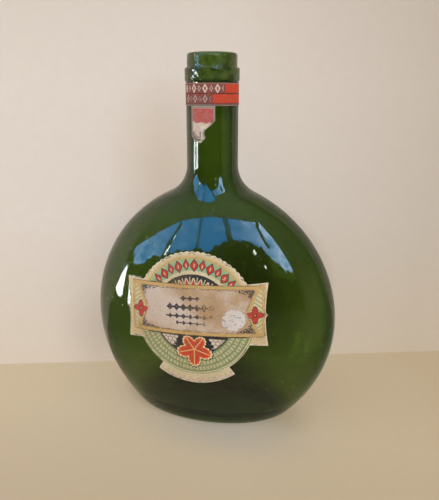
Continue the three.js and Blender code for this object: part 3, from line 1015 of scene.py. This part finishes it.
def lay_tag(art, x, z, grain):
    """The tag: a grey rim with a dark line, a red field, and bare scuffed paper below."""
    middle, half = (TAG_LEFT + TAG_RIGHT) / 2 / MM, (TAG_RIGHT - TAG_LEFT) / 2 / MM
    side = half - abs(x - middle)
    on_tag = (-z).low(side + 1)
    art.lay((216, 199, 184), on_tag)
    field = (z + 9.2 + art.noise(0.35, 27.0, 4.0) * 7).low(-1.2 - z, side - 1.0)
    art.lay((184, 68, 62), field, 0.5)
    art.lay((176, 150, 142), grain.low(-z, side - 1.0), 0.15, 0.45)
    rim = art.inset.low(on_tag)
    art.lay((140, 136, 126), (0.7 - rim).low(on_tag), 0.25, 0.85)
    art.lay((70, 58, 56), near(rim, 0.85, 0.16).low(on_tag), 0.2, 0.7)
    bare = (-9.5 - z).low(art.noise(0.5, 23.0, 4.0) * 6 - 0.2, side - 1.2)
    art.lay((228, 216, 200), bare, 0.5, 0.8)
    scuffed = (-10.5 - z).low(art.noise(0.8, 24.0, 4.0, (1.0, 2.4)) * 8 - 1.1)
    art.lay((84, 68, 58), scuffed, 0.4, 0.75)
    scored = (art.noise(0.5, 36.0, 4.0) * 4 + 0.7).low(-14.0 - z, -2.6 - x)
    for inset, half in ((1.3, 0.4), (2.5, 0.28)):
        art.lay((44, 36, 34), near(art.inset, inset, half).low(scored), 0.2, 0.9)


def neck_print():
    """Two stripes with dark lines and a row of lozenges on each, and a worn tag."""
    art = Print("neck_print", (201, 66, 37))
    waver = art.noise(0.6, 21.0) * 0.4
    x, z = art.x + waver, art.z + waver
    grain = art.noise(1.8, 22.0, 6.0)
    for stripe in STRIPES:
        lay_stripe(art, x, z, *stripe)
    art.lay((70, 40, 38), near(z, 6.7, 0.35), 0.2, 0.9)
    art.lay((96, 50, 44), near(z, 12.1, 0.3), 0.2, 0.7)
    art.lay((126, 104, 98), 1.25 - z, 0.3)
    art.lay((60, 48, 46), near(z, 1.35, 0.25), 0.2, 0.8)
    lay_tag(art, x, z, grain)

    # Stains, rubbed places, dirt and a pale worn edge
    art.lay((150, 110, 96), art.noise(0.25, 25.0, 5.0) - 0.1, 0.2, 0.3)
    art.lay((226, 196, 170), art.noise(1.1, 26.0, 6.0) - 0.19, 0.06, 0.5)
    art.lay((96, 60, 52), art.noise(0.9, 28.0, 6.0) - 0.17, 0.06, 0.5)
    art.lay((216, 190, 170), (0.3 - art.inset - grain * 0.5).low(z), 0.3, 0.5)
    return art.finish(grain * 0.3)


neck_label.data.materials.append(neck_print())
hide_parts("neck_label")
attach(neck_label, "root")


# The stage is a plain pale table, seen from above only, and a plain pale backdrop close behind
# the bottle, seen from its front only, so that neither hides the bottle. Their paint is half
# lit from within and carries painted light: painted shadows round and behind the bottle, a
# painted falloff that darkens it towards the right, and a painted warm glow low on the backdrop.
TABLE_REACH = 3.0
FADE_FROM = 0.05
TABLE_MIRRORED = 0.17
BACKDROP_TURN = radians(18.18)
BACKDROP_DISTANCE = 64.4 * MM
BACKDROP_HEIGHT = 2.0
PAINT_GLOW = 0.5
# Painted falloff of light: where the paint starts to darken towards the right, and over what span
PAINTED_FALLOFF_FROM = 0.01
PAINTED_FALLOFF_SPAN = 0.16
# Painted warm light low on the backdrop: how high it reaches, and its tone
WARM_LIGHT_HEIGHT = 110 * MM
PAINTED_WARM_LIGHT = rgb(208, 180, 134)
BLACK = rgb(0, 0, 0)

# Each painted shadow: its middle, stretch, inner and outer radius in mm, depth and tone. On the
# table they paint the bottle's shadow, a green tinted shade right of its base, a cool shade in
# front of it and a darker front; on the backdrop, the bottle's shadow behind it, a warm tint in
# the shade left of the neck, a darker place left of the body and a darker top.
TABLE_PAINTED_SHADOWS = [
    ((-14, 34, 0), (1, 1, 1), 22, 60, 0.9, rgb(58, 40, 18)),
    ((48, -9, 0), (1, 1, 1), 5, 24, 0.2, rgb(116, 112, 52)),
    ((14, -30, 0), (0.5, 1, 1), 4, 32, 0.35, rgb(150, 158, 168)),
    ((20, -170, 0), (0.4, 1, 1), 40, 150, 0.22, rgb(104, 78, 50)),
]
BACKDROP_PAINTED_SHADOWS = [
    ((4, 68, 54), (1, 1, 1), 20, 74, 0.76, rgb(70, 48, 20)),
    ((-50, 51, 150), (1, 1, 0.6), 6, 40, 0.25, rgb(214, 176, 120)),
    ((-92, 38, 26), (1, 1, 1), 6, 40, 0.16, rgb(110, 84, 60)),
    ((0, 66, 330), (0.25, 0.25, 1), 70, 130, 0.12, rgb(150, 130, 110)),
]


def flat_piece(name, corners):
    piece = mesh_piece(name, corners, [(0, 1, 2, 3)], smooth=False)
    return piece


square = ((-1, -1), (1, -1), (1, 1), (-1, 1))
table = flat_piece("table", [(x * TABLE_REACH, y * TABLE_REACH, 0) for x, y in square])
run = Vector((cos(BACKDROP_TURN), sin(BACKDROP_TURN), 0)) * TABLE_REACH
foot = Vector((-sin(BACKDROP_TURN), cos(BACKDROP_TURN), 0)) * BACKDROP_DISTANCE
top = Vector((0, 0, BACKDROP_HEIGHT))
backdrop = flat_piece("backdrop", [foot - run, foot + run, foot + run + top, foot - run + top])


def pale_paint(name, left, right, grain, warm_light_share, painted_shadows):
    """Matt paint with painted light: darker from one colour to another at the right, warmer low down, and
    painted shadows.
    """
    material, wire = new_material(name)
    place = wire.node("TexCoord", {}, "Object")
    x, y, height = place.split()
    speck = wire.clouds(place, grain, 4.0)
    # Painted shade: the paint darkens from the left colour to the right one, as light falls off
    colour = wire.blend(left, right, ((x + y * 0.3 - PAINTED_FALLOFF_FROM) / PAINTED_FALLOFF_SPAN).clamped())
    colour = colour.mix(colour.mix(BLACK, 0.06), speck)
    # Painted light: a warm glow low down, next to the table
    colour = colour.mix(PAINTED_WARM_LIGHT, (1 - height / WARM_LIGHT_HEIGHT).clamped() * warm_light_share)
    # Painted shadows: each mixes the paint towards a darker or tinted tone round its middle
    for middle, stretch, inner, outer, depth, shadow_tone in painted_shadows:
        away = place.vector("SUBTRACT", Vector(middle) * MM).vector("MULTIPLY", stretch).length()
        shadowed = (outer * MM - away) / (outer * MM - inner * MM)
        colour = colour.mix(shadow_tone, shadowed.clamped() * depth)
    bump = wire.node("Bump", {"Strength": 0.2, "Distance": 0.3 * MM, "Height": speck})
    paint = wire.node("BsdfPrincipled", {
        "Base Color": colour.mix(BLACK, PAINT_GLOW),
        "Roughness": 0.75,
        "Normal": bump,
        "Emission Color": colour,
        "Emission Strength": PAINT_GLOW,
    })
    return material, wire, paint


def show_front(piece, material, wire, paint, hidden):
    """Puts paint on a piece that is clear from behind, and as far as it is hidden."""
    behind = wire.node("NewGeometry", {}, "Backfacing")
    clear = wire.node("BsdfTransparent", {})
    shown = wire.node("MixShader", {0: behind.high(hidden), 1: paint, 2: clear})
    wire.node("OutputMaterial", {"Surface": shown})
    piece.data.materials.append(material)


# The glass mirrors only the part of the table that lies close to it
material, wire, paint = pale_paint(
    "table_paint", rgb(209, 190, 160), rgb(196, 175, 143), 220.0, 0.0, TABLE_PAINTED_SHADOWS
)
place = wire.node("TexCoord", {}, "Object")
mirrored = wire.node("LightPath", {}, "Is Glossy Ray")
faded = ((place.length() - FADE_FROM) / (TABLE_MIRRORED - FADE_FROM)).clamped()
show_front(table, material, wire, paint, mirrored * faded)

material, wire, paint = pale_paint(
    "backdrop_paint", rgb(231, 219, 208), rgb(203, 190, 175), 160.0, 0.3, BACKDROP_PAINTED_SHADOWS
)
show_front(backdrop, material, wire, paint, 0.0)


# The light is an even glow from all round and one soft lamp at the front right. In gloss there
# is a broad pale blue panel with a ragged foot, and small bright strips and sparks round it.
# Turns are degrees to the right of the front, and rises are degrees over the horizon.
GLOW = 1.05
PANEL_TOP = [
    (-67, 13), (-50, 21.4), (-40, 25.2), (-20, 27.8), (0, 32.3), (20, 38.3), (35, 42), (44, 46), (54, 46),
]
PANEL_FOOT = [
    (-67, 9), (-62, 5), (-54, 5.5), (-48, 9.2), (-40, 10.8), (-28, 13.6), (-12, 15), (-5, 18), (0, 21),
    (10, 25), (20, 26), (27, 23), (35, 19), (42, 14), (54, 14),
]
PANEL_LEFT, PANEL_RIGHT, PANEL_RIGHT_TOP = -67, 43, 46
PANEL_PALENESS = [(-67, 0.42), (-38, 0.08), (-20, 0.0), (6, 0.02), (20, 0.28), (33, 0.42), (46, 1.0)]
PANEL_BLUE = (0.12, 2.0, 5.4, 1)
PANEL_PALE = (6.0, 8.6, 12.6, 1)
PANEL_DARK = (0.05, 0.12, 0.05, 1)
SPIKES = [
    (-39, 21, 14.0), (-36, 15, 4.0), (-19, 19, 9.0), (3, 29, 9.0), (5, 26, 3.0), (-64, 11, 4.0),
    (28, 26, 1.6),
]
BARS = [(-18.5, 1.2, 0.6), (3.5, 2.3, 0.75)]
CREASE = [(25, 35), (31.6, 33.8), (38.4, 35.3), (44.4, 40.7), (47, 43)]
SPARKS = [(20.4, 20.4, 1.6), (26.2, 13.8, 1.1)]
SLIT_TURN, SLIT_GLINT_TURN, SLIT_RISE = -37.4, -36.8, 16
SURROUND_LOW = (0.15, 0.16, 0.13, 1)
SURROUND_HIGH = (0.80, 1.0, 0.75, 1)
UNDER_PANEL = (0.025, 0.035, 0.03, 1)
WARM_GLOW = (0.52, 0.50, 0.30, 1)
WARM_GLOW_TURN, WARM_GLOW_RISE, WARM_GLOW_REACH = 72, -10, 22
STRIP_WHITE = (18.0, 18.5, 19.0, 1)
STRIP_TURN, STRIP_RISE, STRIP_RADIUS = -72, -3.5, 7.5
BOW_TURN, BOW_RISE = -85.5, -5
SLOT_TURNS, SLOT_RISES = (-61.5, -52), (-13, -0.5)
PATCH = (1.6, 2.2, 3.0, 1)
LAMP_TURN = radians(45)
LAMP_RISE = radians(27)
LAMP_DISTANCE = 1.1

world = bpy.data.worlds.new("studio")
scene.world = world
world.use_nodes = True
world.node_tree.nodes.clear()
wire = Wire(world.node_tree)
is_camera = wire.node("LightPath", {}, "Is Camera Ray")
is_glossy = wire.node("LightPath", {}, "Is Glossy Ray")
is_through = wire.node("LightPath", {}, "Is Transmission Ray")
direction = wire.node("TexCoord", {}, "Generated")
dx, dy, dz = direction.split()
turn = dx.math("ARCTAN2", -dy) * TO_DEGREES
rise = dz.math("ARCSINE") * TO_DEGREES
ragged = wire.clouds(direction, 14.0, 9.0, 0.6) - 0.5
drift = wire.clouds(direction.vector("MULTIPLY", (1.0, 1.0, 2.5)), 6.0, 9.0, 0.6) - 0.5

# The panel, its ragged foot with a few spikes, and the crease and thin dark bars across it
foot_line = turn.curve(*PANEL_FOOT) + ragged * 9
for middle, height, slope in SPIKES:
    foot_line = foot_line.high(height - abs(turn - middle + ragged * 2) * slope)
in_panel = (turn.curve(*PANEL_TOP) - rise).low(rise - foot_line)
in_panel = in_panel.low(PANEL_RIGHT + (PANEL_RIGHT_TOP - rise) * 0.3 - turn, turn - PANEL_LEFT)
seam = near(turn - rise.curve(*CREASE), 0.0, 1.7).low(rise - 25.5).mask(0.4)
slit = near(turn - SLIT_TURN - (rise - SLIT_RISE) * 0.3 + ragged, 0.0, 1.3)
seam = seam.high(slit.low(25 - rise).mask(0.5) * 0.9)
for middle, half, strength in BARS:
    seam = seam.high(near(turn + ragged, middle, half).mask(0.5) * strength)
pale = turn.curve(*PANEL_PALENESS)
pale = (pale * (0.75 + drift * 4) + (drift - 0.04).high(0) * 1.3).clamped()
panel = wire.blend(PANEL_BLUE, PANEL_PALE, pale).mix(PANEL_DARK, seam)
glints = near(turn - SLIT_GLINT_TURN - (rise - SLIT_RISE) * 0.25, 0.0, 0.8)
glints = glints.low(near(rise, 15.5, 4.5), ragged * 14 - 0.4).mask(0.3)
for middle, height, half in SPARKS:
    glints = glints.high((near(turn, middle, half) + near(rise, height, half) - half).mask(0.4) * 0.8)

# What surrounds the panel: lighter above, warm low at the right and darkest under its foot
above = ((rise - 10) / 50 * (1 - turn / 110)).clamped()
around = wire.blend(SURROUND_LOW, SURROUND_HIGH, above)
glow = near(turn, WARM_GLOW_TURN, WARM_GLOW_REACH).mask(24.0)
glow = glow * near(rise, WARM_GLOW_RISE, WARM_GLOW_REACH).mask(16.0)
around = around.mix(WARM_GLOW, glow * 0.7)
shade = (rise + 9).low(foot_line - rise, 58 - turn, turn + 64).mask(6.0)
around = around.mix(UNDER_PANEL, shade)
patch = near(turn, rise - 76, 4.0).low(4 - rise, rise + 1.5).mask(1.5)
around = around.mix(PATCH, patch * 0.8)

# Bright strips low at the left: a cut disc, a thin bow beside it and a soft slot
strip = STRIP_RADIUS - distance(turn - STRIP_TURN, rise - STRIP_RISE)
strip = strip.low(turn + 68 + (3.7 - rise) * 1.15, ragged * 2 - 67.3 - turn).mask(0.6)
over = rise - BOW_RISE
bow = near(turn - BOW_TURN - over * over * 0.05, 0.0, 0.35).low(11 - rise, rise + 13)
strip = strip.high(bow.mask(0.5) * 0.5)
slot = (SLOT_RISES[1] - rise).low(rise - SLOT_RISES[0])
slot = slot.low(turn - SLOT_TURNS[0], SLOT_TURNS[1] - turn).mask(1.0)

gloss = around.mix(panel, in_panel.mask(0.5)).mix(STRIP_WHITE, strip.high(slot, glints))
seen = gloss.mix(rgb(190, 180, 166), is_through * (dy * 20).clamped().high(0.82))
lit = wire.blend((GLOW, GLOW, GLOW, 1), seen, is_glossy.high(is_through))
shown = lit.mix(rgb(214, 202, 188), is_camera)
wire.node("OutputWorld", {"Surface": wire.node("Background", {"Color": shown})})

lamp = bpy.data.objects.new("lamp", bpy.data.lights.new("lamp", "AREA"))
lamp.data.size = 0.4
lamp.data.energy = 1.7
lamp.location = LAMP_DISTANCE * Vector((
    sin(LAMP_TURN) * cos(LAMP_RISE),
    -cos(LAMP_TURN) * cos(LAMP_RISE),
    sin(LAMP_RISE),
))
lamp.rotation_mode = "QUATERNION"
lamp.rotation_quaternion = (-lamp.location).to_track_quat("-Z", "Y")
lamp.visible_glossy = False
scene.collection.objects.link(lamp)
